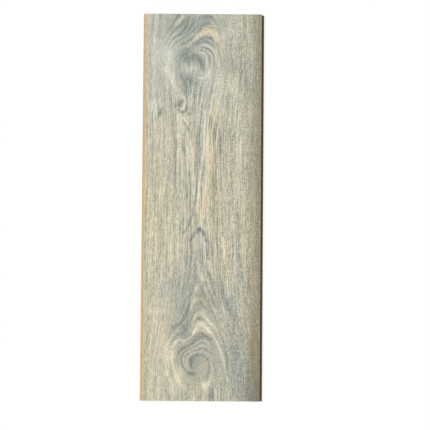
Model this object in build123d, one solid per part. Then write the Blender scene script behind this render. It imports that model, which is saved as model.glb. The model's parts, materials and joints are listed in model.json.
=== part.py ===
"""Laminate floor plank: a cut length of click-lock flooring, lying flat, face up.

One pressed and milled board. X runs across the board, Y along it and Z up. The origin is on the
underside, below the middle of the decor face. The tongue is on the -X edge and the groove, with its
locking lip, on the +X edge. Both ends are sawn square. All sizes are in millimetres.
"""

import math
import os

from build123d import *

# Board
face_width = 192.0       # decor face, from joint plane to joint plane
board_length = 642.0
board_thickness = 12.0
edge_ease = 0.3          # small chamfer along the two long edges of the decor face

# Tongue, on the -X edge
upper_lip = 4.0          # board above the tongue and above the groove
tongue_reach = 5.0       # how far the tongue stands out of the joint plane
tongue_slope = 4.0       # fall of the tongue's upper face towards its nose, in degrees
nose_height = 2.2        # height of the nose before its corners are rounded
nose_radius = 0.6

# Locking lip, on the +X edge
lip_reach = 4.0          # how far the lip stands out of the joint plane
lip_floor = 2.4          # lip thickness under the lowest point of the tongue's belly
hook_height = 3.7        # top of the hook above the underside
lock_start = 0.9         # where the belly ends and the locking face begins, inside the joint plane
lock_angle = 50.0        # locking face above the horizontal, in degrees
hook_radius = 0.5        # rounding of the hook's two upper corners
lead_in = 0.5            # chamfer under the groove's upper lip, where the tongue enters
milled_radius = 0.3      # rounding that the cutters leave in the inner corners

# Fit between one board's tongue and the next board's groove
joint_clearance = 0.1    # between facing flanks
nose_clearance = 0.4     # room in front of the nose
hook_clearance = 0.15    # room above the hook
lip_clearance = 0.4      # room beyond the lip's end

# The belly under the tongue is an arc. It is level above the lip floor and rises to the nose.
tongue_top = board_thickness - upper_lip
nose_top = tongue_top - tongue_reach * math.tan(math.radians(tongue_slope))
nose_bottom = nose_top - nose_height
belly_bottom = lip_floor + joint_clearance
belly_rise = nose_bottom - belly_bottom
belly_radius = (tongue_reach**2 + belly_rise**2) / (2 * belly_rise)
belly_centre = Vector(0, belly_bottom + belly_radius)

lock_direction = Vector(1, 0).rotate(Axis.Z, lock_angle)
lock_outward = Vector(1, 0).rotate(Axis.Z, lock_angle - 90)


def belly_point(across, clearance):
    """Point of the belly arc, grown by the clearance, at a distance across from the joint plane."""
    radius = belly_radius + clearance
    return Vector(across, belly_centre.Y - math.sqrt(radius**2 - across**2))


def lock_foot(clearance):
    """Where the locking face, moved outward by the clearance, leaves the belly arc grown by as much."""
    start = belly_point(lock_start, 0) + lock_outward * clearance
    along = (start - belly_centre).dot(lock_direction)
    beyond = (start - belly_centre).length ** 2 - (belly_radius + clearance) ** 2
    return start - lock_direction * (math.sqrt(along**2 - beyond) + along)


def lock_head(clearance, height):
    """Where the locking face, moved outward by the clearance, reaches a height above the underside."""
    foot = lock_foot(clearance)
    return foot + lock_direction * ((height - foot.Y) / lock_direction.Y)


def belly_arc(clearance):
    """Arc from under the nose to the foot of the locking face."""
    return ThreePointArc(
        belly_point(-tongue_reach, clearance),
        belly_point(0, clearance),
        lock_foot(clearance),
    )


def rounded(outline, points, radius):
    """The outline with the corners nearest to these points rounded."""
    corners = [outline.vertices().sort_by_distance(point)[0] for point in points]
    return fillet(corners, radius)


def tongue_edge():
    """Section of the -X edge, from its joint plane at 0 to the middle of the board."""
    middle = face_width / 2
    recess_top = hook_height + hook_clearance
    recess_end = lip_reach + lip_clearance
    lock = lock_head(0, recess_top)
    upper = Polyline(
        (middle, 0),
        (middle, board_thickness),
        (edge_ease, board_thickness),
        (0, board_thickness - edge_ease),
        (0, tongue_top),
        (-tongue_reach, nose_top),
        (-tongue_reach, nose_bottom),
    )
    belly = belly_arc(0)
    recess = Polyline(belly @ 1, lock, (recess_end, recess_top), (recess_end, 0), (middle, 0))
    outline = make_face(upper.edges() + belly.edges() + recess.edges())

    nose = min(nose_radius, 0.45 * nose_height)
    outline = rounded(outline, [(-tongue_reach, nose_top), (-tongue_reach, nose_bottom)], nose)
    return rounded(outline, [lock, (recess_end, recess_top), (0, tongue_top)], milled_radius)


def groove_edge():
    """Section of the +X edge, from the middle of the board to its joint plane at 0 and the lip beyond."""
    middle = -face_width / 2
    groove_top = tongue_top + joint_clearance
    groove_end = -(tongue_reach + nose_clearance)
    slope = math.tan(math.radians(tongue_slope))
    end_top = groove_top + groove_end * slope
    end_bottom = belly_point(-tongue_reach, joint_clearance).Y
    hook = lock_head(joint_clearance, hook_height)
    upper = Polyline(
        (middle, 0),
        (middle, board_thickness),
        (-edge_ease, board_thickness),
        (0, board_thickness - edge_ease),
        (0, groove_top + lead_in),
        (-lead_in, groove_top - lead_in * slope),
        (groove_end, end_top),
        (groove_end, end_bottom),
        (-tongue_reach, end_bottom),
    )
    belly = belly_arc(joint_clearance)
    lip = Polyline(belly @ 1, hook, (lip_reach, hook_height), (lip_reach, 0), (middle, 0))
    outline = make_face(upper.edges() + belly.edges() + lip.edges())

    pocket = min(milled_radius, 0.45 * nose_clearance, 0.45 * (end_top - end_bottom))
    outline = rounded(outline, [(groove_end, end_top), (groove_end, end_bottom)], pocket)
    crown = min(hook_radius, 0.45 * (lip_reach - hook.X))
    return rounded(outline, [hook, (lip_reach, hook_height)], crown)


def plank():
    """The board's section carried along its length."""
    half = face_width / 2
    section = Pos(-half, 0) * tongue_edge() + Pos(half, 0) * groove_edge()
    return extrude(Plane.XZ * section, amount=board_length / 2, both=True)


os.makedirs("parts", exist_ok=True)
export_step(plank(), "parts/plank.step")
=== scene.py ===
"""Laminate floor plank: an embossed plank with a grey oak print, a milled click joint and a plain studio.

Lengths in the formulas below are millimetres in the part's own frame: x across the plank from the tongue
to the groove, y along it and z up. Meshes are divided by MM when they are made, so Blender has metres.
"""

import json
import math

import bpy
import numpy as np
from bpy.props import FloatProperty, FloatVectorProperty, IntProperty, PointerProperty
from mathutils import Matrix, Vector


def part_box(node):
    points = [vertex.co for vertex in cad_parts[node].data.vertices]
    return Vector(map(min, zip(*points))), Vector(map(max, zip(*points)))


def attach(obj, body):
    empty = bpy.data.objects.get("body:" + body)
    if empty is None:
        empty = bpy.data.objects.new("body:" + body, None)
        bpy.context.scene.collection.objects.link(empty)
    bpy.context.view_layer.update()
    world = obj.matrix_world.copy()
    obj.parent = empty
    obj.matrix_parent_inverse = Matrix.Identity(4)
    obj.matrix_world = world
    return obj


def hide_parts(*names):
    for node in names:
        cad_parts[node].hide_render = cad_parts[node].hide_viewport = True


bl_info = {
    "name": "Laminate floor plank",
    "version": (1, 0, 0),
    "blender": (4, 5, 0),
    "location": "3D View > Sidebar > Plank",
    "description": "Builds an embossed click laminate plank with a procedural grey oak print",
    "category": "Object",
}

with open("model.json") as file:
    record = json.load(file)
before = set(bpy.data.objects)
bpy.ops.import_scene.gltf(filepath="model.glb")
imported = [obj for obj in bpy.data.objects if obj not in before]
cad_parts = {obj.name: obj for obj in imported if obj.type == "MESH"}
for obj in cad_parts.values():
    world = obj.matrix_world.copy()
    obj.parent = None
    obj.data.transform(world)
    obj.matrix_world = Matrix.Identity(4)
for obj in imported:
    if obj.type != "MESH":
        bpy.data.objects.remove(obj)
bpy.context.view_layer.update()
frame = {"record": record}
PLANK_LOW, PLANK_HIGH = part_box("plank")
MOUNTS = {mount["name"]: mount for mount in frame["record"]["mounts"]}

MM = 1000.0
DECOR, CORE, BACKING = 0, 1, 2
SHARP_ANGLE = math.radians(35)     # edges that turn further than this are shown sharp
EMBOSS_FADE = 1.2                  # strip along each long edge where the embossing dies away
SHEET_DEPTHS = (0.32, 0.26)        # below the face, where a sawn end turns into the printed sheet's edge

PHOTO_PIXELS = 430
VIEW_CENTRE = (20.4, -14.6)        # middle of the picture on the decor face
FLOOR_REACH = 6.0                  # metres from the origin to each side of the floor
FLOOR_LIT = 0.9                    # shade of the floor for the light that it throws back
FLOOR_SHOWN = 0.12                 # shade that the camera sees, which takes the plank's shadow
FLOOR_GLOW = 0.9                   # light that makes the floor white to the camera
TO_LAMP = (-0.62, 0.12, 1.0)       # direction from the plank to the lamp
LAMP_SPREAD = math.radians(12)     # angle that the lamp fills, which softens its shadows
WHITE = (1.0, 1.0, 1.0)


def linear(red, green, blue):
    """A colour given as 8-bit display values, as the linear values that shaders work with."""
    shown = np.array([red, green, blue]) / 255
    curve = np.where(shown <= 0.04045, shown / 12.92, ((shown + 0.055) / 1.055) ** 2.4)
    return tuple(float(c) for c in curve)


# Sizes and colours that a user would change


def length(name, description, default):
    """A length property in millimetres."""
    return FloatProperty(name=name, description=description, default=default, min=0.0, precision=3)


def angle(name, description, degrees):
    """An angle property whose default is given in degrees."""
    return FloatProperty(name=name, description=description, default=math.radians(degrees), subtype="ANGLE")


def colour(name, description, display):
    """A colour property whose default is given as 8-bit display values."""
    return FloatVectorProperty(
        name=name,
        description=description,
        default=linear(*display),
        size=3,
        min=0.0,
        max=1.0,
        subtype="COLOR",
    )


class PlankSizes(bpy.types.PropertyGroup):
    """Milled profile, embossing and mesh spacing, in millimetres."""

    edge_ease: length("Edge ease", "Chamfer along the two long edges of the decor face", 0.3)
    upper_lip: length("Upper lip", "Board above the tongue and above the groove", 4.0)
    tongue_slope: angle("Tongue slope", "Fall of the tongue's upper face towards its nose", 4.0)
    nose_height: length("Nose height", "Height of the tongue's nose before rounding", 2.2)
    nose_radius: length("Nose radius", "Rounding of the nose", 0.6)
    lip_floor: length("Lip floor", "Thickness of the locking lip under the tongue", 2.4)
    hook_height: length("Hook height", "Top of the locking hook above the underside", 3.7)
    lock_start: length("Lock start", "Where the belly ends and the locking face begins", 0.9)
    lock_angle: angle("Lock angle", "Locking face above the horizontal", 50.0)
    hook_radius: length("Hook radius", "Rounding of the hook's upper corners", 0.5)
    lead_in: length("Lead-in", "Chamfer where the tongue enters the groove", 0.5)
    milled_radius: length("Milled radius", "Rounding that the cutters leave in inner corners", 0.3)
    joint_clearance: length("Joint clearance", "Gap between facing flanks of two planks", 0.1)
    nose_clearance: length("Nose clearance", "Room in front of the nose", 0.4)
    hook_clearance: length("Hook clearance", "Room above the hook", 0.15)
    lip_clearance: length("Lip clearance", "Room beyond the lip's end", 0.4)
    emboss_depth: length("Emboss depth", "Deepest line pressed into the decor face", 0.22)
    across_step: length("Step across", "Mesh spacing across the decor face", 0.95)
    along_step: length("Step along", "Mesh spacing along the plank", 1.85)
    arc_steps: IntProperty(name="Arc steps", description="Edges in each rounded corner", default=3, min=2)


class PlankColours(bpy.types.PropertyGroup):
    """Colours of the print, the fibreboard and the sheet underneath, and of the painted shade along the
    groove edge.
    """

    shade: colour("Shade", "Darkest lines of the figure", (115, 119, 108))
    slate: colour("Slate", "Blue-grey of the knots and bands", (150, 152, 138))
    ash: colour("Ash", "Grey ground of the print", (183, 179, 158))
    oat: colour("Oat", "Light ground of the print", (205, 199, 176))
    cream: colour("Cream", "Lightest streaks", (231, 227, 206))
    # the brown of the printed sheet's edge, and painted shade that darkens the decor face towards the
    # groove edge
    umber_and_painted_shade: colour("Umber", "Brown towards the groove edge", (110, 101, 77))
    core: colour("Core", "Milled fibreboard", (210, 181, 138))
    core_dark: colour("Core flecks", "Dark fibres in the board", (150, 116, 76))
    backing: colour("Backing", "Balancing sheet underneath", (198, 183, 152))


class PlankStage(bpy.types.PropertyGroup):
    """Camera and light."""

    camera_distance: FloatProperty(
        name="Camera distance",
        description="From the camera to the decor face",
        default=3.0,
        unit="LENGTH",
    )
    camera_tilt: angle("Camera tilt", "Lean of the view from straight down", 4.1)
    camera_roll: angle("Camera roll", "Turn of the picture", 0.45)
    pixel_size: length("Pixel size", "Length on the decor face under one pixel of the photograph", 1.6525)
    key_strength: FloatProperty(name="Key strength", description="Light from the tongue side", default=2.86)
    sky_strength: FloatProperty(name="Sky strength", description="Even light from all around", default=0.2)


# Shader arithmetic


class Value:
    """A number in a shader. Python arithmetic on it adds Math nodes."""

    def __init__(self, finish, socket):
        self.finish = finish
        self.socket = socket

    def math(self, operation, *others):
        return self.finish.add("ShaderNodeMath", {"operation": operation}, [self, *others])

    def __add__(self, other):
        return self.math("ADD", other)

    def __sub__(self, other):
        return self.math("SUBTRACT", other)

    def __mul__(self, other):
        return self.math("MULTIPLY", other)

    def __truediv__(self, other):
        return self.math("DIVIDE", other)

    def __neg__(self):
        return self.math("MULTIPLY", -1.0)

    def __abs__(self):
        return self.math("ABSOLUTE")

    __radd__ = __add__
    __rmul__ = __mul__

    def __rsub__(self, other):
        return self.finish.add("ShaderNodeMath", {"operation": "SUBTRACT"}, [other, self])

    def __rtruediv__(self, other):
        return self.finish.add("ShaderNodeMath", {"operation": "DIVIDE"}, [other, self])

    def at_most(self, other):
        return self.math("MINIMUM", other)

    def at_least(self, other):
        return self.math("MAXIMUM", other)

    def rise(self, start, end):
        """0 before start, 1 after end, with a smooth step between."""
        return self.finish.add(
            "ShaderNodeMapRange",
            {"interpolation_type": "SMOOTHSTEP"},
            {"Value": self, "From Min": start, "From Max": end},
        )


class Finish:
    """A material, or a world, whose nodes are written as expressions."""

    def __init__(self, holder, output="ShaderNodeOutputMaterial"):
        self.holder = holder
        self.holder.use_nodes = True
        self.tree = self.holder.node_tree
        self.tree.nodes.clear()
        self.output = self.tree.nodes.new(output)

    def add(self, kind, settings=None, sockets=None, output=0):
        """A node of this type, with its settings set first and then its sockets' values or links."""
        node = self.tree.nodes.new(kind)
        for key, value in (settings or {}).items():
            if key == "stops":
                self.set_stops(node.color_ramp, value)
            else:
                setattr(node, key, value)
        pairs = sockets.items() if isinstance(sockets, dict) else enumerate(sockets or [])
        for key, value in pairs:
            socket = node.inputs[key]
            if isinstance(value, Value):
                self.tree.links.new(value.socket, socket)
            else:
                socket.default_value = value
        return Value(self, node.outputs[output])

    @staticmethod
    def set_stops(ramp, stops):
        """Gives a colour ramp, which starts with two stops, these (place, colour) stops."""
        ramp.interpolation = "LINEAR"
        for _ in stops[2:]:
            ramp.elements.new(0.5)
        for element, (place, shown) in zip(ramp.elements, stops):
            element.position = place
            element.color = (*shown, 1.0)

    def split(self, vector):
        """The three numbers of a vector."""
        return [self.add("ShaderNodeSeparateXYZ", None, [vector], axis) for axis in range(3)]

    def place(self):
        """Object coordinates as three numbers in millimetres."""
        return [part * MM for part in self.split(self.add("ShaderNodeTexCoord", output="Object"))]

    def field(self, name):
        """One of the mesh's own vector attributes as three numbers."""
        return self.split(self.add("ShaderNodeAttribute", {"attribute_name": name}, output="Vector"))

    def noise(self, across, along, depth=0.0, detail=2.0, roughness=0.5):
        """Noise about 0, roughly -0.5 to 0.5, at two numbers; depth picks another pattern."""
        where = self.add("ShaderNodeCombineXYZ", None, [across, along, depth])
        spread = {"Vector": where, "Scale": 1.0, "Detail": detail, "Roughness": roughness}
        return self.add("ShaderNodeTexNoise", {"noise_dimensions": "3D"}, spread) - 0.5

    def mix(self, factor, first, second, blend="MIX"):
        """First colour at factor 0 and at 1 the second, or the two blended as named."""
        sockets = {0: factor, 6: self.rgba(first), 7: self.rgba(second)}
        return self.add("ShaderNodeMix", {"data_type": "RGBA", "blend_type": blend}, sockets, 2)

    @staticmethod
    def rgba(shown):
        """A plain colour with its alpha, or a shader's colour as it is."""
        return shown if isinstance(shown, Value) else (*tuple(shown)[:3], 1.0)

    def colour_ramp(self, factor, *stops):
        """Colour read between (place, colour) stops."""
        placed = [(place, tuple(shown)[:3]) for place, shown in stops]
        return self.add("ShaderNodeValToRGB", {"stops": placed}, {"Fac": factor})

    def seen(self):
        """1 for the camera, in reflections and through glass, and 0 for rays that only carry light."""
        rays = ("Is Camera Ray", "Is Glossy Ray", "Is Transmission Ray")
        camera, glossy, through = (self.add("ShaderNodeLightPath", output=ray) for ray in rays)
        return camera.at_least(glossy).at_least(through)

    def principled(self, shown, roughness, gloss, height, strength, depth):
        """Finish of this colour, roughness and gloss, with bumps as deep as this in millimetres."""
        relief = {"Strength": strength, "Distance": depth / MM, "Height": height}
        sockets = {
            "Base Color": shown,
            "Roughness": roughness,
            "Specular IOR Level": gloss,
            "Normal": self.add("ShaderNodeBump", None, relief),
        }
        return self.surface(self.add("ShaderNodeBsdfPrincipled", None, sockets))

    def surface(self, shader):
        """The material or world, with this shader as its surface."""
        self.tree.links.new(shader.socket, self.output.inputs["Surface"])
        return self.holder


# Growth of the wood, worked out as whole arrays: u across the face and v along it, in millimetres

LOWER_KNOT = (-3.0, -261.0)
UPPER_KNOT = (-5.0, 240.0)
UPPER_EYE = (-20.0, 247.0)         # middle of the parting of the fibres round the upper knot
UPPER_PITCH = 2.4                  # radius from one ring of the upper knot to the next
ARCH_RADIUS = 59.3                 # radius of the last arch over the lower knot
ARCH_LIFT = 60.0                   # most that a point's height adds to its radius
ARCH_RISE = 52.0                   # height over which the lift grows
ARCH_POINT = 4.5                   # how sharply the arches' tips are pointed


def hill(*parts):
    """exp of minus the sum of the squares of the given arrays: a round hill of height 1."""
    return np.exp(-sum(part**2 for part in parts))


def smooth_step(value, start, end):
    """0 before start, 1 after end, with a cubic step between."""
    share = np.clip((value - start) / (end - start), 0, 1)
    return share * share * (3 - 2 * share)


def soft_least(first, second, blend):
    """The smaller of two arrays, rounded off where they differ by less than blend."""
    near = np.clip(blend - np.abs(first - second), 0, None) / blend
    return np.minimum(first, second) - near * near * blend / 4


def lattice(u, v, seed):
    """Value noise from 0 to 1: random numbers at whole places, joined by smooth steps both ways."""
    column, row = np.floor(u).astype(int), np.floor(v).astype(int)
    across, along = u - column, v - row
    column, row = column - column.min(), row - row.min()
    table = np.random.default_rng(seed).random((column.max() + 2, row.max() + 2))
    across, along = (t * t * (3 - 2 * t) for t in (across, along))
    near = table[column, row] * (1 - across) + table[column + 1, row] * across
    far = table[column, row + 1] * (1 - across) + table[column + 1, row + 1] * across
    return near * (1 - along) + far * along


def arch_radius(u, v):
    """Radius about the lower knot's axis, stretched upwards into pointed arches and open below.

    Squared radius = squared distance from the knot's axis + squared lift. Above the knot the lift is
    ARCH_LIFT (1 - exp(-height / ARCH_RISE)): close by it grows as the height does, which gives round rings,
    and further up it levels off, which gives arches with ever steeper legs. There ARCH_POINT times the
    distance from the axis is added as well, which points their tips.
    """
    across = u - LOWER_KNOT[0]
    height = v - LOWER_KNOT[1]
    lift = ARCH_LIFT * (1 - np.exp(-np.clip(height, 0, None) / ARCH_RISE))
    point = ARCH_POINT * np.abs(across) * smooth_step(height, 40, 80)
    return np.sqrt(across**2 + point + lift**2)


def lower_rings(u, v):
    """Ring radius in the lower knot: the arch radius, closed below on the left but not on the right.

    Squared ring radius = squared arch radius + the square of 0.8 times the depth below the knot. A dent and
    a lobe make the knot's left shoulder.
    """
    across = u - LOWER_KNOT[0]
    height = v - LOWER_KNOT[1]
    below = 0.8 * np.clip(height, None, 0) * (1 - smooth_step(across, -10, 30))
    dent = hill((across + 16) / 9, (height - 40) / 11)
    lobe = hill((across + 42) / 15, (height - 18) / 28)
    return np.sqrt(arch_radius(u, v) ** 2 + below**2) + 7 * dent - 6 * lobe


def fibre_line(u, v):
    """Which fibre passes through a point: its distance from the knots' axis, far from the knots.

    Fibres run straight along the plank and part around the upper eye, where the distance from its axis is
    reduced by a share that dies away as a round hill. Beside the arches they part as well: there 0.35 times
    the distance is added to 0.65 times a softened square root of how far the squared arch radius exceeds
    that of the last arch. Inside the arches fibres run straight again.
    """
    eye = u - UPPER_EYE[0]
    around_eye = hill(eye / 52, (v - UPPER_EYE[1]) / 75)
    across = u - LOWER_KNOT[0]
    excess = np.clip(arch_radius(u, v) ** 2 - ARCH_RADIUS**2, 0, None)
    softening = 6.0
    beside = np.sign(across) * (np.sqrt(excess + softening**2) - softening)
    parted = 0.35 * across + 0.65 * beside
    share = (1 - smooth_step(v, -40, 90)) * smooth_step(excess, 0, 60)
    return across + share * (parted - across) - 0.6 * eye * around_eye


def arch_number(radius):
    """Ring number in the lower knot: counted evenly near its core and ever faster towards the last arch.

    Number = radius / 4.5 - 4.5 ln(1 - radius / 61.5), because the far arches' legs lie closer together than
    their radius says.
    """
    radius = np.clip(radius, 0, 60.8)
    return radius / 4.5 - 4.5 * np.log(1 - radius / 61.5)


def upper_rings(u, v):
    """Ring radius about the upper knot: open below, round on the right, long slanting legs on the left.

    Radius = (reach ** p + lift ** p) ** (1 / p). The lift grows fast near the knot and slowly further up.
    On the right the reach is the distance from the axis and p is 2. On the left the reach is a share of the
    distance and p falls to 1.25, which straightens the legs. The axis moves to the right further up. What
    is past 30 counts 1.8 times, because there the radius grows slowly.
    """
    height = v - UPPER_KNOT[1]
    across = u - UPPER_KNOT[0] - 12 * smooth_step(height, 15, 45)
    above = soft_least(np.clip(1.05 * height - 5, 0, None), 22 + 0.22 * height, 6)
    below = np.clip(-0.12 * height, 0, None)
    left = np.clip(-across, 0, None)
    share = 0.6 - 0.15 * smooth_step(height, -5, 25)
    reach = np.clip(across, 0, None) + left * share
    power = 2 - 0.75 * smooth_step(left, 5, 30)
    radius = (reach**power + np.clip(above + below, 0, None) ** power) ** (1 / power)
    return radius + 0.8 * np.clip(radius - 30, 0, None)


class Streak:
    """A soft line of darker or lighter wood along a route of (across, along, tone) points."""

    def __init__(self, width, *route, warm=0):
        self.width = width
        self.route = np.array(route) / (1, 1, 100)
        self.warm = warm / 100

    def mark(self, u, v):
        """Tone that the streak adds: that of the stretch whose tone is furthest from 0.

        A stretch's tone is the one at its nearest point, times exp(-(distance / width) ** 2).
        """
        best = np.zeros_like(u)
        for start, end in zip(self.route[:-1], self.route[1:]):
            step = end - start
            across, along = u - start[0], v - start[1]
            share = (across * step[0] + along * step[1]) / (step[0] ** 2 + step[1] ** 2)
            share = np.clip(share, 0, 1)
            cover = hill((across - share * step[0]) / self.width, (along - share * step[1]) / self.width)
            tone = (start[2] + share * step[2]) * cover
            best = np.where(np.abs(tone) > np.abs(best), tone, best)
        return best

    def cover(self, u, v):
        """Share of the streak at each point, 1 where its tone is strongest."""
        return np.abs(self.mark(u, v)) / np.abs(self.route[:, 2]).max()


class Patch:
    """A soft oval of darker or lighter wood."""

    def __init__(self, centre, radii, tone, warm=0):
        self.centre = centre
        self.radii = radii
        self.tone = tone / 100
        self.warm = warm / 100

    def cover(self, u, v):
        """Share of the patch at each point: exp(-(across / radius) ** 2 - (along / radius) ** 2)."""
        return hill((u - self.centre[0]) / self.radii[0], (v - self.centre[1]) / self.radii[1])

    def mark(self, u, v):
        """Tone that the patch adds."""
        return self.tone * self.cover(u, v)


# The figure that gives this print its character: streaks and patches, placed one by one. Tones and
# warmth are in hundredths. A tone above 0 is lighter than the ground, and warm adds tan, or grey below 0.

TAN_ARC = Streak(7.0, (-24, 273, 3), (-13, 281, 10), (-4, 288, 21), (3, 291, 22), (10, 291, 20),
                 (18, 287, 16), (23, 279, 13), (27, 267, 5), warm=135)

# Upper knot, with its dark eye, the fan of lines on its left and the small knot below it
UPPER_FIGURE = [
    TAN_ARC,
    Streak(2.0, (-20, 271, -25), (-10, 274, -30), (0, 281, -36), (5, 282, -36), (10, 281, -36),
           (18, 274, -28), (23, 269, -20)),
    Streak(1.6, (-8, 294, -20), (0, 300, -28), (8, 298, -28), (20, 296, -28), (27, 286, -20)),
    Patch((5, 312), (13, 9), -28),
    Streak(4.8, (-22, 256, -8), (-13, 252, -16), (-7, 244, -26), (-3, 236, -30), (-2, 228, -25), warm=-60),
    Patch((-28, 246), (15, 9.5), -27, warm=-60),
    Patch((-29, 261), (10, 10), -13, warm=-40),
    Streak(1.6, (-68, 278, -12), (-61, 290, -22), (-54, 299, -20), (-50, 308, -24), (-44, 319, -24)),
    Streak(1.5, (-65, 271, -14), (-57, 281, -20), (-51, 288, -24), (-45, 297, -22), (-38, 302, -20),
           (-33, 314, -18)),
    Streak(1.4, (-58, 276, 12), (-50, 284, 16), (-43, 290, 12)),
    Streak(1.6, (-60, 268, -16), (-54, 276, -24), (-47, 281, -24), (-39, 287, -24), (-32, 295, -26),
           (-28, 303, -22), (-26, 316, -14)),
    Streak(1.4, (-52, 274, 12), (-42, 280, 16), (-36, 285, 10)),
    Streak(1.5, (-57, 262, -14), (-50, 270, -20), (-44, 275, -20), (-37, 280, -18), (-30, 287, -18),
           (-23, 297, -20), (-18, 306, -22), (-14, 318, -18)),
    Streak(1.6, (-30, 281, -14), (-24, 287, -18), (-16, 294, -18), (-10, 303, -16)),
    Streak(2.4, (-38, 268, -16), (-30, 273, -20), (-24, 277, -24), (-17, 283, -22), (-9, 290, -20),
           (-4, 299, -14)),
    Streak(1.6, (-46, 262, 12), (-38, 265, 16), (-28, 270, 20), (-19, 276, 20), (-13, 280, 10)),
    Streak(3.4, (-47, 303, 20), (-42, 309, 24), (-36, 316, 24), warm=100),
    Patch((-43, 319), (5, 4), -22),
    Patch((-24, 230), (12, 7), 16),
    Streak(1.5, (-7, 256, 20), (0, 256, 30), (4, 250, 32), (4, 240, 30), (2, 230, 12)),
    Streak(1.5, (-5, 261, -22), (3, 258, -26), (8, 250, -26), (9, 240, -26), (8, 230, -18)),
    Streak(1.4, (0, 262, 15), (8, 258, 25), (12, 250, 30), (13, 240, 25), (12, 230, 15)),
    Streak(1.5, (-3, 265, -22), (5, 264, -26), (12, 259, -26), (16, 250, -26), (17, 232, -18)),
    Streak(1.6, (-5, 269, 10), (5, 269, 15), (15, 265, 15), (20, 257, 20), (22, 238, 15)),
    Streak(1.6, (-12, 270, -20), (2, 275, -20), (14, 271, -22), (22, 262, -20), (26, 248, -15)),
    Patch((-57, 250), (6, 17), 24, warm=50),
    Patch((44, 238), (19, 30), -13, warm=40),
    Patch((47, 205), (9, 12), 15),
    Patch((8, 200), (14, 14), 7, warm=-60),
    Streak(2.0, (-8, 213, 20), (0, 214, 25), (6, 219, 25), (8, 226, 20)),
    Patch((-24, 207), (16.5, 13), -33, warm=-45),
    Patch((-29, 191), (8, 9), -27, warm=-40),
    Streak(6.5, (-62, 226, 20), (-55, 214, 22), (-47, 201, 20), (-39, 187, 18), (-34, 177, 10), warm=30),
    Streak(6.0, (27, 215, 6), (24, 200, 10), (20, 183, 12), (17, 165, 12), (15, 150, 10), warm=20),
    Streak(4.2, (-34, 176, -28), (-38, 172, -36), (-45, 167, -32)),
    Streak(2.3, (-36, 184, 24), (-31, 177, 36), (-30, 170, 30), (-33, 164, 30), (-38, 161.5, 26)),
    Streak(1.9, (-28.5, 181, -24), (-27, 168, -36), (-27, 159, -44), (-31, 156, -50), (-36, 157.5, -46),
           (-43, 161, -34)),
    Patch((-23, 153), (2.8, 3), -40),
    Patch((-72, 156), (2.2, 6), -46),
]

# Long streaks and dashes between the knots
MIDDLE_FIGURE = [
    Streak(2.6, (-60, 195, -8), (-57, 185, -14), (-54, 172, -20), (-54, 160, -18), (-51, 148, -20),
           (-48, 135, -16)),
    Streak(2.2, (-51, 140, -10), (-48, 115, -22), (-46, 100, -22), (-45, 65, -20), (-48, 25, -18),
           (-50, 0, -10)),
    Streak(1.4, (-41, 120, 15), (-41, 75, 20), (-43, 40, 15)),
    Patch((-36, 141), (10, 17), 22),
    Streak(1.6, (-37, 146, -25), (-33, 139, -38), (-27, 132, -38), (-21, 123, -36), (-19, 110, -18)),
    Streak(4.5, (-4, 165, -10), (-4, 140, -17), (-5, 120, -15), (-8, 80, -12), (-12, 55, -10), warm=-40),
    Streak(1.6, (3, 160, 20), (3, 105, 22), (3, 92, 34), (0, 80, 38), (-2, 68, 36), (-5, 49, 30),
           (-10, 2, 26), (-14, -26, 15)),
    Streak(7.0, (16, 160, 5), (14, 110, 6), (14, 90, 7), (14, 60, 7), (11, 40, 7), (7, 20, 5), (-2, -15, 4),
           warm=40),
    Streak(2.5, (-17, 140, 5), (-17, 100, 10), (-18, 60, 8), warm=40),
    Streak(1.3, (19, 145, -6), (21, 105, -10), (20, 80, -25), (23, 45, -24), (23, 20, -20)),
    Streak(1.3, (27, 125, -20), (27, 60, -22), (30, 25, -20)),
    Streak(1.3, (33, 92, -22), (35, 60, -22)),
    Streak(1.3, (13, 146, -25), (13, 130, -20)),
    Patch((-33, 102), (2.2, 8), -30),
    Patch((-30, 92), (2.5, 5), -30),
    Patch((-23, 52), (1.8, 9), -30),
    Patch((-32, 35), (1.8, 6), -25),
    Patch((-4, 31), (2, 5), -25),
    Patch((-25, 85), (5, 26), 12),
    Streak(1.3, (62, 112, 25), (62, 88, 25)),
    Patch((-84, 165), (6, 11), 18),
    Patch((16, 115), (3.5, 75), -12),
    Patch((-1, 0), (9, 24), 6, warm=30),
]

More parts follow.
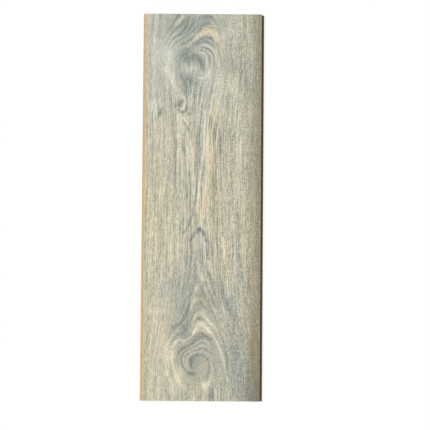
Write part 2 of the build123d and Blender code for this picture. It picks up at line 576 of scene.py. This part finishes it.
# Pointed arches over the lower knot
ARCHES = [
    Streak(3.3, (-5, -39, -46), (0, -44, -46), (4, -51, -54), (7, -57, -48)),
    Streak(1.5, (6, -56, -25), (8, -75, -20), (8, -98, -5)),
    Streak(2.8, (-5, -39, -36), (-10, -44, -34), (-16, -49, -28), (-20, -57, -38)),
    Streak(1.8, (-29, -58, -10), (-29, -75, -20), (-29, -98, -14)),
    Streak(1.7, (-8, 50, -16), (-11, 30, -24), (-14, 10, -28), (-18, -14, -30), (-22, -26, -32),
           (-27, -36, -30), (-31, -44, -20)),
    Streak(1.5, (-12, -5, -10), (-12.5, -28, -18)),
    Streak(1.5, (16, 60, -18), (17, 18, -22), (20, -25, -22), (25, -61, -18), (29, -110, -14)),
    Streak(1.7, (-32, -15, -10), (-34, -27, -20), (-37, -38, -12)),
    Patch((15, -95), (3, 6), 12),
    Patch((-2, -56), (6, 11), 10, warm=-90),
    Patch((-4, -82), (5.5, 24), -9, warm=-95),
    Streak(1.5, (4, -58, 20), (5, -75, 20), (5, -92, 12)),
    Streak(2.0, (-16, -55, 22), (-16, -72, 20)),
    Streak(2.6, (-34, -48, 15), (-34, -80, 20), (-33, -112, 10), warm=35),
    Streak(2.4, (-3, -99, 20), (-2, -112, 22), (0, -124, 28), warm=30),
    Streak(2.0, (-10, -98, -15), (-15, -130, -16), (-22, -160, -17), (-25, -176, -17), (-30, -187, -18),
           (-44, -201, -20), (-49, -213, -15)),
    Streak(2.2, (8, -98, -16), (11, -110, -34), (15, -119, -36), (18, -127, -34), (22, -142, -22),
           (30, -175, -15)),
    Streak(1.8, (2, -110, -24), (6, -125, -28), (13, -145, -22), (19, -165, -18)),
    Patch((-1, -121), (3, 6), 20),
    Streak(1.5, (1, -130, -20), (1, -147, -20)),
    Patch((-1, -150), (5, 15), -8, warm=60),
    Patch((-4, -166), (5, 4), -14),
    Streak(1.6, (-9, -130, 15), (-16, -160, 20), (-19, -172, 12)),
    Patch((-31, -158), (13, 52), -15, warm=-50),
    Patch((-29, -201), (12, 10), -17, warm=-30),
    Streak(2.6, (29, -112, -15), (34, -145, -17), (38, -157, -20), (45, -166, -20), (52, -190, -12)),
    Patch((42, -158), (9, 16), -10, warm=-60),
    Streak(1.6, (50, -50, -20), (50, -75, -22), (49, -102, -20)),
    Streak(2.4, (35, -52, 22), (35, -88, 18)),
]

# Lower knot, with its light arch, its rings and the plank's lower end
LOWER_FIGURE = [
    Streak(2.0, (-15, -196, 24), (-12, -184, 28), (-8, -176, 32), (-3, -174, 34), (2, -176, 32),
           (8, -184, 28), (18, -197, 22), (23, -207, 12)),
    Patch((-3, -184), (6, 4), -17, warm=30),
    Patch((-1, -195), (5, 5), 13),
    Streak(6.6, (-11, -205, 25), (-5, -197, 38), (2, -197, 38), (10, -205, 30)),
    Streak(1.7, (-50, -234, 22), (-45, -227, 30), (-39, -223, 32), (-28, -222, 32), (-22, -219, 36),
           (-16, -215, 40), (-12, -209, 38), (-9, -201, 36)),
    Streak(1.9, (8, -201, 34), (15, -210, 32), (25, -224, 34), (31, -239, 34), (36, -256, 32),
           (44, -290, 20)),
    Streak(1.6, (-14, -215, -14), (-5, -209, -20), (1, -209, -20), (9, -215, -18), (14, -221, -14),
           warm=70),
    Streak(3.4, (-16, -225, -14), (-6, -217, -17), (1, -215, -19), (8, -217, -17), (14, -224, -13),
           (19, -234, -10), warm=-30),
    Streak(2.0, (-38, -242, -18), (-32, -235, -20), (-22, -230, -20), (-14, -226, -20)),
    Streak(1.3, (-34, -243, 15), (-28, -238, 20), (-14, -231, 20), (-3, -223, 20), (2, -222, 22),
           (8, -224, 20), (15, -234, 14)),
    Streak(1.3, (-31, -243, -16), (-25, -238, -20), (-15, -235, -18), (-6, -229, -12), (1, -226, -12),
           (8, -229, -8)),
    Streak(1.3, (-30, -246, 16), (-25, -242, 20), (-9, -235, 20), (-3, -231, 18), (2, -230, 18),
           (8, -232, 16), (13, -238, 12)),
    Streak(1.4, (-28, -248, -18), (-22, -243, -20), (-12, -240, -20), (-4, -236, -20), (2, -235, -18),
           (9, -238, -12)),
    Streak(1.6, (0, -240, 12), (-12, -243, 16), (-20, -246, 20), (-24, -251, 25), (-24, -258, 25),
           (-20, -266, 20), (-14, -270, 15)),
    Streak(1.3, (-28, -247, 14), (-30, -252, 18), (-30, -259, 18), (-26, -265, 15)),
    Streak(1.6, (-31, -244, -18), (-34, -250, -24), (-33, -258, -28), (-30, -265, -28), (-25, -271, -28),
           (-18, -276, -22), (-10, -277, -12)),
    Streak(1.3, (-34, -240, 12), (-37, -248, 16), (-37, -256, 15)),
    Streak(1.3, (-37, -239, -14), (-40, -246, -20), (-40, -256, -20), (-37, -263, -14)),
    Patch((-18, -277), (9, 5), -18),
    Streak(3.2, (9, -252, -15), (3, -246, -22), (-5, -244, -26), (-13, -247, -29), (-18, -253, -30),
           (-18, -261, -28), (-15, -267, -20), warm=-30),
    Patch((-8, -255), (9, 8), -12, warm=-30),
    Patch((-2, -267), (6, 5), 8, warm=60),
    Streak(1.5, (9, -253, -18), (12, -262, -22), (11, -274, -22), (8, -283, -14)),
    Streak(1.6, (14, -258, 16), (17, -266, 20), (18, -274, 20), (15, -284, 22), (10, -291, 25)),
    Streak(1.5, (18, -256, -15), (22, -266, -18), (23, -278, -14)),
    Streak(3.0, (-48, -204, 12), (-40, -206, 12)),
    Streak(1.6, (-30, -209, -16), (-38, -212, -28), (-45, -217, -30), (-51, -227, -26), (-54, -240, -14)),
    Streak(1.3, (-40, -219, -16), (-46, -223, -26), (-50, -231, -22)),
    Streak(1.5, (-41, -195, -14), (-48, -203, -24), (-53, -212, -20), (-55, -220, -10)),
    Patch((-58, -245), (10, 28), 20, warm=15),
    Streak(1.7, (-48, -240, 20), (-47, -262, 26), (-43, -280, 26), (-38, -290, 26), (-25, -302, 20)),
    Streak(1.5, (-56, -270, 20), (-52, -285, 20), (-46, -298, 16)),
    Patch((-37, -281), (8, 16), 24, warm=35),
    Patch((5, -295), (6.5, 7.5), 36),
    Streak(2.2, (7, -301, 20), (7, -320, 16)),
    Patch((-8, -300), (6, 16), 3, warm=50),
    Patch((16, -311), (4, 9), -30),
    Streak(1.6, (22, -304, 18), (22, -316, 18)),
    Patch((-50, -315), (6, 7), -18),
    Patch((58, -262), (14, 52), -10, warm=-45),
    # Painted shade: darker and browner along the groove edge, adding to the shade mixed in decor_finish
    Patch((90, -262), (15, 60), -12, warm=70),
    Streak(1.8, (54, -178, -20), (54, -212, -20)),
]

# Broad areas of tone and tint under all of it
GROUND = [
    Patch((-20, 215), (110, 80), 0, warm=-16),
    Patch((0, -25), (120, 60), 0, warm=7),
    # Painted shade: darker and browner along the groove edge, adding to the shade mixed in decor_finish
    Patch((88, -190), (16, 150), -7, warm=25),
    Patch((24, 262), (14, 22), 6),
    Patch((-62, 285), (42, 75), 9, warm=-90),
    Patch((0, 285), (55, 70), 0, warm=-50),
    Patch((-24, 250), (24, 50), -12, warm=-50),
    Patch((-80, 20), (34, 180), 5, warm=25),
    Patch((-80, -230), (34, 120), 6, warm=25),
    Patch((0, -215), (36, 110), -9),
    Patch((55, -230), (34, 120), -10),
    Patch((24, 20), (16, 130), 0, warm=30),
    Patch((-42, 303), (30, 19), -20, warm=-30),
    Patch((2, 222), (22, 34), 7),
    Patch((-86, 215), (20, 70), 0, warm=-50),
    Patch((0, 178), (18, 18), 9, warm=-20),
    Patch((86, 258), (16, 28), 13),
    Patch((-59, -139), (13, 26), -12, warm=-30),
    Patch((37, -95), (11, 55), 9, warm=25),
    Patch((86, -70), (20, 130), 0, warm=35),
    # Painted shade: darkest at the lower corner of the groove edge
    Patch((92, -310), (24, 28), -42),
    Patch((-34, -255), (11, 24), -10, warm=-20),
    Patch((-15, -222), (34, 62), -6, warm=10),
    Patch((-5, 307), (42, 15), -6),
    Patch((-34, 184), (9, 14), -10),
    Patch((-60, 195), (11, 32), 7),
    Patch((36, 180), (12, 16), -9),
    Patch((-85, 85), (14, 45), 7),
    Patch((59, 55), (13, 36), 9, warm=20),
    Patch((59, -120), (12, 40), -8),
    Patch((-36, 30), (11, 40), -7),
]

FIGURE = GROUND + UPPER_FIGURE + MIDDLE_FIGURE + ARCHES + LOWER_FIGURE


def arch_share(u, v, near, lower):
    """How far the lower knot's rings show: from its core out to the last arch.

    They are weaker inside the knot, on its left shoulder and along the arches' axis, where the figure has
    lines of its own.
    """
    shown = smooth_step(v, -312, -278) * (1 - smooth_step(v, -46, -24))
    shown *= smooth_step(lower, 8, 16) * (1 - smooth_step(lower, 58.3, 59.7))
    inside = 0.5 + 0.5 * smooth_step(lower, 38, 50)
    shoulder = hill((u + 45) / 14, (v + 215) / 22)
    axis = hill((near - LOWER_KNOT[0]) / 8) * smooth_step(v, -165, -110)
    return shown * inside * (1 - 0.7 * shoulder) * (1 - 0.9 * axis)


def knot_share(u, v, near, high, upper):
    """How far the upper knot's rings show: round it and above it, less in its dark eye and the tan arc."""
    shown = (1 - smooth_step(upper, 66, 100)) * (1 - smooth_step(UPPER_KNOT[1] - v, 5, 40))
    eye = hill((u + 25) / 17, (v - 240) / 21)
    return shown * (1 - 0.9 * eye) * (1 - smooth_step(-u, 60, 78)) * (1 - 0.7 * TAN_ARC.cover(near, high))


def growth_fields(u, v):
    """Fields that the decor reads, as two vectors a point.

    Growth is the fibre, the ring and how far rings show. Figure is the tone, the warmth and how far
    straight fibres show. Slow value noise first moves each point a little, so that no line is drawn with a
    ruler. The figure's tones are added up, and so are the shares of its marks times their warmth. Dark
    marks are cooler.
    """
    near = u + 3 * (lattice(u / 11, v / 26, 1) - 0.5) + 0.6 * (lattice(u / 4, v / 6, 2) - 0.5)
    high = v + 4 * (lattice(u / 13, v / 22, 3) - 0.5) + 0.9 * (lattice(u / 5, v / 9, 4) - 0.5)
    drift = 5 * (lattice(u / 40, v / 110, 5) - 0.5)

    fibre = fibre_line(u + 0.35 * (near - u) + drift, v)
    lower = lower_rings(near, high)
    upper = upper_rings(near, high)
    ring = np.where(v < 0, arch_number(lower), upper / UPPER_PITCH)
    eyed = knot_share(u, v, near, high, upper)
    knotted = smooth_step(v, -312, -278) * (1 - smooth_step(lower, 44, 58))
    plain = 1 - np.maximum(knotted, eyed)

    # On the upper knot's left flank the rings give way to the figure's fan of lines
    flank = smooth_step(upper, 30, 42) * smooth_step(-u, 0, 20) * smooth_step(v, 235, 260)
    ringed = np.where(v < 0, arch_share(u, v, near, lower), eyed * (1 - 0.75 * flank))

    tone = np.zeros_like(u)
    warmth = np.zeros_like(u)
    for item in FIGURE:
        tone += item.mark(near, high)
        warmth += item.warm * item.cover(near, high)
    warmth -= 1.2 * np.clip(-tone, 0, 0.5)
    return {
        "growth": np.stack([fibre, ring, ringed], axis=-1),
        "figure": np.stack([tone, warmth, plain], axis=-1),
    }


# What the ground's colour is multiplied by where the print is warmest and coolest
WARM_TINT = (1.10, 0.93, 0.72)
COOL_TINT = (0.92, 0.988, 1.075)


def decor_finish(colours):
    """The printed sheet: rings and arches, fibre streaks, pores, and painted shade that darkens it towards
    the groove side.
    """
    finish = Finish(bpy.data.materials.new("laminate_decor"))
    u, v, _ = finish.place()
    fibre, ring, ringed = finish.field("growth")
    mark, warmth, plain = finish.field("figure")

    # Streaks along the fibres, from broad to thin, and round the knots
    long = finish.noise(fibre / 6, v / 170, 20.1, 1.0)
    lines = finish.noise(fibre / 2.3, v / 110, 23.7, 1.0, 0.6)
    thin = finish.noise(fibre / 1.3, v / 45, 25.3, 0.0)
    rings = finish.noise(ring, u / 32, v / 32, 1.0, 0.5)
    centred = 1.0 - abs(u - 5.0).rise(20.0, 45.0)
    straight = plain * (1.0 - ringed.at_most(1.0))
    grain = (0.35 - 0.15 * centred) * long + (0.3 + 0.37 * centred) * lines + (0.4 + 0.3 * centred) * thin
    quiet = 1.0 - 0.25 * (-warmth).rise(0.2, 0.9)
    streak = quiet * straight * grain + 0.58 * ringed * rings

    # Short hairs, specks that are stronger towards the groove, and a slow change of tone
    hair = finish.noise(fibre / 1.0, v / 10, 27.2, 1.0, 0.6)
    speck = finish.noise(u / 0.9, v / 2.4, u / 2.3 + v / 5.2, 1.0)
    patch = finish.noise(u / 26, v / 40, 31.4, 2.0)
    mottled = 1.0 + 0.8 * u.rise(0.0, 60.0)
    fuzzy = (0.5 + 0.75 * plain) * (1.0 - 0.1 * centred)
    tone = 0.565 + 1.15 * mark + 1.5 * streak + quiet * fuzzy * hair + mottled * speck + 0.3 * patch

    # Colour, from the tone, its tint, the painted shade towards the groove side and the pores
    ground = finish.colour_ramp(
        tone,
        (0.0, colours.shade),
        (0.25, colours.slate),
        (0.5, colours.ash),
        (0.72, colours.oat),
        (1.0, colours.cream),
    )
    tint = warmth + 0.9 * finish.noise(fibre / 1.6, v / 10, 35.0, 1.0) - 0.04
    shown = finish.mix(tint, ground, WARM_TINT, "MULTIPLY")
    shown = finish.mix(-tint, shown, COOL_TINT, "MULTIPLY")
    # Painted shade: the face darkens towards brown from 60 mm out to the groove edge
    groove_side = u.rise(60.0, 106.0)
    shown = finish.mix(groove_side * (0.8 - 0.8 * speck), shown, colours.umber_and_painted_shade)
    pores = finish.noise(fibre / 0.6, v / 16, 40.0, 1.0).rise(0.1, 0.24)
    shown = finish.mix(0.3 * pores, shown, colours.shade)

    height = 0.5 * streak + 0.6 * hair - 0.5 * pores
    roughness = 0.46 + 0.2 * hair + 0.12 * pores
    return finish.principled(shown, roughness, gloss=0.4, height=height, strength=0.35, depth=0.4)


def core_finish(colours, thickness):
    """Milled fibreboard: short pressed fibres in a tan board, denser and darker towards its faces."""
    finish = Finish(bpy.data.materials.new("fibreboard_core"))
    u, v, z = finish.place()
    flecks = finish.noise(u / 0.7, v / 1.6, z / 0.5, 3.0, 0.65)
    clumps = finish.noise(u / 4, v / 9, z / 2, 2.0)
    cutter = finish.noise(v / 0.9, u / 40, z / 40, 1.0)
    dense = abs(z - thickness / 2).rise(0.3 * thickness, 0.5 * thickness)
    share = 0.22 + 0.9 * flecks + 0.5 * clumps + 0.2 * cutter + 0.12 * dense
    shown = finish.mix(share, colours.core, colours.core_dark)
    sheet = z.rise(*(thickness - depth for depth in SHEET_DEPTHS))
    shown = finish.mix(0.8 * sheet, shown, colours.umber_and_painted_shade)
    return finish.principled(shown, 0.78 + 0.2 * flecks, gloss=0.25, height=flecks, strength=0.3, depth=0.3)


def backing_finish(colours):
    """Balancing sheet underneath: resin-soaked paper with a faint mottle."""
    finish = Finish(bpy.data.materials.new("balancing_sheet"))
    u, v, _ = finish.place()
    mottle = finish.noise(u / 7, v / 11, 3.0, 3.0, 0.6)
    fibres = finish.noise(u / 0.8, v / 3.5, 6.0, 2.0)
    share = 0.18 + 0.5 * mottle + 0.35 * fibres
    shown = finish.mix(share, colours.backing, colours.core_dark)
    return finish.principled(shown, 0.62 + 0.2 * mottle, gloss=0.3, height=fibres, strength=0.15, depth=0.2)


# Profile of the plank, worked out as whole arrays


def arc(centre, radius, start, end, steps):
    """Points on a circle from one angle to another, both included."""
    turn = np.linspace(start, end, steps + 1)
    return np.array(centre) + radius * np.column_stack([np.cos(turn), np.sin(turn)])


def rounded(before, corner, after, radius, steps):
    """Arc that rounds the corner between two straight edges.

    Its centre lies on the corner's bisector, at radius / sin(half the angle) from the corner, and it turns
    the short way between the feet of the centre on the two edges.
    """
    before, corner, after = (np.array(p, float) for p in (before, corner, after))
    back = (before - corner) / np.linalg.norm(before - corner)
    ahead = (after - corner) / np.linalg.norm(after - corner)
    half = math.acos(float(np.clip(back @ ahead, -1, 1))) / 2
    centre = corner + radius / math.sin(half) * (back + ahead) / np.linalg.norm(back + ahead)
    reach = radius / math.tan(half)
    first, last = corner + reach * back - centre, corner + reach * ahead - centre
    start = math.atan2(first[1], first[0])
    turn = math.atan2(first[0] * last[1] - first[1] * last[0], first @ last)
    return arc(centre, radius, start, start + turn, steps)


class Joint:
    """The click joint's shared lines, as x out of the joint plane and z above the underside.

    The belly under the tongue is an arc that is level over the lip and rises to the nose. The locking face
    leaves it at a fixed angle. The groove's lines are the tongue's, moved out by the joint clearance.
    """

    def __init__(self, sizes, thickness, reach, lip_reach):
        self.sizes = sizes
        self.thickness = thickness
        self.reach = reach
        self.lip_reach = lip_reach
        self.tongue_top = thickness - sizes.upper_lip
        self.nose_top = self.tongue_top - reach * math.tan(sizes.tongue_slope)
        self.nose_bottom = self.nose_top - sizes.nose_height
        low = sizes.lip_floor + sizes.joint_clearance
        rise = self.nose_bottom - low
        self.radius = (reach**2 + rise**2) / (2 * rise)
        self.centre = np.array([0.0, low + self.radius])
        self.lock = np.array([math.cos(sizes.lock_angle), math.sin(sizes.lock_angle)])
        self.outward = np.array([math.sin(sizes.lock_angle), -math.cos(sizes.lock_angle)])

    def belly_angle(self, across, clearance):
        """Angle of the belly arc's point at a distance across from the joint plane."""
        return -math.acos(across / (self.radius + clearance))

    def angle_to(self, point):
        """Angle of a point as seen from the belly arc's centre."""
        across, height = point - self.centre
        return math.atan2(height, across)

    def lock_foot(self, clearance):
        """Where the locking face, moved out by the clearance, leaves the arc grown by as much."""
        at = self.sizes.lock_start
        height = self.centre[1] - math.sqrt(self.radius**2 - at**2)
        start = np.array([at, height]) + self.outward * clearance
        along = float((start - self.centre) @ self.lock)
        beyond = float((start - self.centre) @ (start - self.centre)) - (self.radius + clearance) ** 2
        return start - self.lock * (math.sqrt(along**2 - beyond) + along)

    def lock_head(self, clearance, height):
        """Where the locking face reaches a height."""
        foot = self.lock_foot(clearance)
        return foot + self.lock * ((height - foot[1]) / self.lock[1])

    def groove_side(self):
        """From the decor face down the joint plane, round the groove and its lip to the underside."""
        s = self.sizes
        slope = math.tan(s.tongue_slope)
        top = self.tongue_top + s.joint_clearance
        end = -(self.reach + s.nose_clearance)
        end_top = top + end * slope
        turn = self.belly_angle(-self.reach, s.joint_clearance)
        grown = self.radius + s.joint_clearance
        nose = self.centre + grown * np.array([math.cos(turn), math.sin(turn)])
        foot = self.lock_foot(s.joint_clearance)
        foot_turn = self.angle_to(foot)
        hook = self.lock_head(s.joint_clearance, s.hook_height)
        pocket = min(s.milled_radius, 0.45 * s.nose_clearance)
        lip = (self.lip_reach, s.hook_height)
        entry = (-s.lead_in, top - s.lead_in * slope)
        return np.vstack(
            [
                [(0.0, self.thickness - s.edge_ease), (0.0, top + s.lead_in), entry],
                rounded(entry, (end, end_top), (end, nose[1]), pocket, s.arc_steps),
                rounded((end, end_top), (end, nose[1]), nose, pocket, s.arc_steps),
                arc(self.centre, grown, turn, foot_turn, 4 * s.arc_steps),
                rounded(foot, hook, lip, s.hook_radius, s.arc_steps),
                rounded(hook, lip, (self.lip_reach, 0.0), s.hook_radius, s.arc_steps),
                [(self.lip_reach, 0.0)],
            ]
        )

    def tongue_side(self):
        """From the underside up the recess, round the belly and the tongue to the decor face."""
        s = self.sizes
        recess_top = s.hook_height + s.hook_clearance
        recess_end = self.lip_reach + s.lip_clearance
        head = self.lock_head(0.0, recess_top)
        foot = self.lock_foot(0.0)
        corner = (recess_end, recess_top)
        inner = self.radius - s.nose_radius
        tip = np.array([s.nose_radius - self.reach, 0.0])
        tip[1] = self.centre[1] - math.sqrt(inner**2 - tip[0] ** 2)
        tip_turn = self.angle_to(tip)
        foot_turn = self.angle_to(foot)
        nose = (-self.reach, self.nose_top)
        root = (0.0, self.tongue_top)
        return np.vstack(
            [
                [(recess_end, 0.0)],
                rounded((recess_end, 0.0), corner, head, s.milled_radius, s.arc_steps),
                rounded(corner, head, foot, s.milled_radius, s.arc_steps),
                arc(self.centre, self.radius, foot_turn, tip_turn, 4 * s.arc_steps),
                arc(tip, s.nose_radius, tip_turn, -math.pi, s.arc_steps)[1:],
                rounded(tip, nose, root, s.nose_radius, s.arc_steps),
                rounded(nose, root, (0.0, self.thickness), s.milled_radius, s.arc_steps),
                [(0.0, self.thickness - s.edge_ease)],
            ]
        )


def embossing(u, v):
    """How far the press plate sinks into the decor face, 0 to 1: long lines that follow the fibres.

    Two grades of long value noise on the fibre lines, the sharper one cut off so that only separate lines
    are left, and a slow swell.
    """
    fibre = fibre_line(u, v)
    lines = lattice(fibre / 1.1, v / 24, 11)
    brushed = lattice(fibre / 2.6, v / 60, 12)
    swell = lattice(fibre / 14, v / 130, 13)
    cut = np.clip((lines - 0.55) / 0.45, 0, 1)
    return np.clip(0.55 * cut + 0.3 * brushed + 0.15 * swell, 0, 1)


def plank_mesh(sizes):
    """The closed profile carried along the length, with the decor face pressed down by the embossing."""
    low, high = (np.array(corner) * MM for corner in (PLANK_LOW, PLANK_HIGH))
    half_width = -MOUNTS["tongue_closing_face"]["pos_m"][0] * MM
    thickness = high[2]
    joint = Joint(sizes, thickness, -half_width - low[0], high[0] - half_width)

    flat = half_width - sizes.edge_ease
    columns = round(2 * flat / sizes.across_step)
    face = np.column_stack([np.linspace(-flat, flat, columns + 1), np.full(columns + 1, thickness)])
    groove = joint.groove_side() + (half_width, 0.0)
    tongue = joint.tongue_side() - (half_width, 0.0)
    profile = np.vstack([face, groove, tongue])
    around = len(profile)

    rows = round((high[1] - low[1]) / sizes.along_step)
    along = np.linspace(low[1], high[1], rows + 1)
    x = np.repeat(profile[None, :, 0], rows + 1, axis=0)
    y = np.repeat(along[:, None], around, axis=1)
    z = np.repeat(profile[None, :, 1], rows + 1, axis=0)
    top = slice(0, columns + 1)
    fade = np.clip((flat - np.abs(x[:, top])) / EMBOSS_FADE, 0, 1)
    z[:, top] -= sizes.emboss_depth * embossing(x[:, top], y[:, top]) * fade
    points = np.stack([x, y, z], axis=-1).reshape(-1, 3) / MM

    here = np.arange(around)
    following = np.roll(here, -1)
    start = np.arange(rows)[:, None] * around
    corners = (here, following, around + following, around + here)
    walls = np.stack([start + corner for corner in corners], axis=-1)
    finishes = np.full(around, CORE)
    finishes[:columns + 1] = DECOR
    finishes[-1] = DECOR
    finishes[columns + len(groove)] = BACKING
    slots = np.concatenate([np.tile(finishes, rows), [CORE, CORE]])

    mesh = bpy.data.meshes.new("plank")
    ends = [here.tolist(), (rows * around + here[::-1]).tolist()]
    mesh.from_pydata(points.tolist(), [], walls.reshape(-1, 4).tolist() + ends)
    mesh.polygons.foreach_set("material_index", slots.astype(np.int32))
    smooth = np.concatenate([np.ones(rows * around, bool), [False, False]])
    mesh.polygons.foreach_set("use_smooth", smooth)
    for name, field in growth_fields(x.ravel(), y.ravel()).items():
        mesh.attributes.new(name, "FLOAT_VECTOR", "POINT").data.foreach_set("vector", field.ravel())
    mesh.update()
    return mesh


class OBJECT_OT_laminate_plank(bpy.types.Operator):
    """Makes the plank with its milled edges, embossed face and finishes"""

    bl_idname = "object.laminate_plank"
    bl_label = "Laminate plank"

    def execute(self, context):
        sizes = context.scene.plank_sizes
        colours = context.scene.plank_colours
        mesh = plank_mesh(sizes)
        mesh.materials.append(decor_finish(colours))
        mesh.materials.append(core_finish(colours, PLANK_HIGH.z * MM))
        mesh.materials.append(backing_finish(colours))
        plank = bpy.data.objects.new("laminate_plank", mesh)
        context.scene.collection.objects.link(plank)
        mesh.set_sharp_from_angle(angle=SHARP_ANGLE)
        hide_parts("plank")
        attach(plank, "root")
        return {"FINISHED"}


def floor_finish():
    """White floor: plain white to the camera and in reflections, with the object's shadow kept."""
    finish = Finish(bpy.data.materials.new("studio_floor"))
    lit, faint = (
        finish.add("ShaderNodeBsdfDiffuse", None, {"Color": (shade, shade, shade, 1.0)})
        for shade in (FLOOR_LIT, FLOOR_SHOWN)
    )
    glow = finish.add("ShaderNodeEmission", None, {"Color": finish.rgba(WHITE), "Strength": FLOOR_GLOW})
    shown = finish.add("ShaderNodeAddShader", None, [faint, glow])
    return finish.surface(finish.add("ShaderNodeMixShader", None, [finish.seen(), lit, shown]))


def studio_sky(strength):
    """White sky: plain white to the camera and in reflections, and an even light of this strength."""
    finish = Finish(bpy.data.worlds.new("studio"), "ShaderNodeOutputWorld")
    light, shown = (
        finish.add("ShaderNodeBackground", None, {"Color": finish.rgba(WHITE), "Strength": level})
        for level in (strength, 1.0)
    )
    return finish.surface(finish.add("ShaderNodeMixShader", None, [finish.seen(), light, shown]))


class SCENE_OT_plank_stage(bpy.types.Operator):
    """Makes the floor, the light and the camera above the plank"""

    bl_idname = "scene.plank_stage"
    bl_label = "Plank stage"

    def execute(self, context):
        scene = context.scene
        stage = scene.plank_stage
        scene.view_settings.view_transform = "Standard"
        scene.world = studio_sky(stage.sky_strength)
        self.add_floor(scene)
        self.add_lamp(scene, stage)
        self.add_camera(scene, stage)
        return {"FINISHED"}

    @staticmethod
    def add_floor(scene):
        """Square floor at the height of the plank's underside."""
        corners = np.array([(-1, -1, 0), (1, -1, 0), (1, 1, 0), (-1, 1, 0)]) * FLOOR_REACH
        corners = corners + (0, 0, PLANK_LOW.z)
        sheet = bpy.data.meshes.new("studio_floor")
        sheet.from_pydata(corners.tolist(), [], [(0, 1, 2, 3)])
        sheet.materials.append(floor_finish())
        floor = bpy.data.objects.new("studio_floor", sheet)
        scene.collection.objects.link(floor)

    @staticmethod
    def add_lamp(scene, stage):
        """Broad lamp above the tongue side."""
        lamp = bpy.data.lights.new("key", "SUN")
        lamp.energy = stage.key_strength
        lamp.angle = LAMP_SPREAD
        key = bpy.data.objects.new("key", lamp)
        key.rotation_euler = Vector(TO_LAMP).to_track_quat("Z", "Y").to_euler()
        scene.collection.objects.link(key)

    @staticmethod
    def add_camera(scene, stage):
        """Camera above the plank, leaning back towards its lower end, so that end looks a little larger."""
        view_centre = Vector((*VIEW_CENTRE, PLANK_HIGH.z * MM)) / MM
        turn = Matrix.Rotation(stage.camera_roll, 4, "Z") @ Matrix.Rotation(stage.camera_tilt, 4, "X")
        data = bpy.data.cameras.new("camera")
        data.sensor_fit = "HORIZONTAL"
        width = PHOTO_PIXELS * stage.pixel_size / MM
        data.angle = 2 * math.atan(width / 2 / stage.camera_distance)
        data.dof.use_dof = False
        camera = bpy.data.objects.new("camera", data)
        back = turn @ Vector((0, 0, stage.camera_distance))
        camera.matrix_world = Matrix.Translation(view_centre + back) @ turn
        scene.collection.objects.link(camera)
        scene.camera = camera


class VIEW3D_PT_plank(bpy.types.Panel):
    """Buttons and settings for what this script makes"""

    bl_label = "Plank"
    bl_space_type = "VIEW_3D"
    bl_region_type = "UI"
    bl_category = "Plank"

    def draw(self, context):
        for operator in OPERATORS:
            self.layout.operator(operator.bl_idname)
        for group in GROUPS:
            settings = getattr(context.scene, group)
            for key in settings.__annotations__:
                self.layout.prop(settings, key)


GROUPS = {"plank_sizes": PlankSizes, "plank_colours": PlankColours, "plank_stage": PlankStage}
OPERATORS = (OBJECT_OT_laminate_plank, SCENE_OT_plank_stage)
CLASSES = (*GROUPS.values(), *OPERATORS, VIEW3D_PT_plank)


def register():
    for cls in CLASSES:
        bpy.utils.register_class(cls)
    for key, group in GROUPS.items():
        setattr(bpy.types.Scene, key, PointerProperty(type=group))


def unregister():
    for key in GROUPS:
        delattr(bpy.types.Scene, key)
    for cls in reversed(CLASSES):
        bpy.utils.unregister_class(cls)


def main():
    register()
    bpy.ops.object.laminate_plank()
    bpy.ops.scene.plank_stage()


if __name__ == "__main__":
    main()
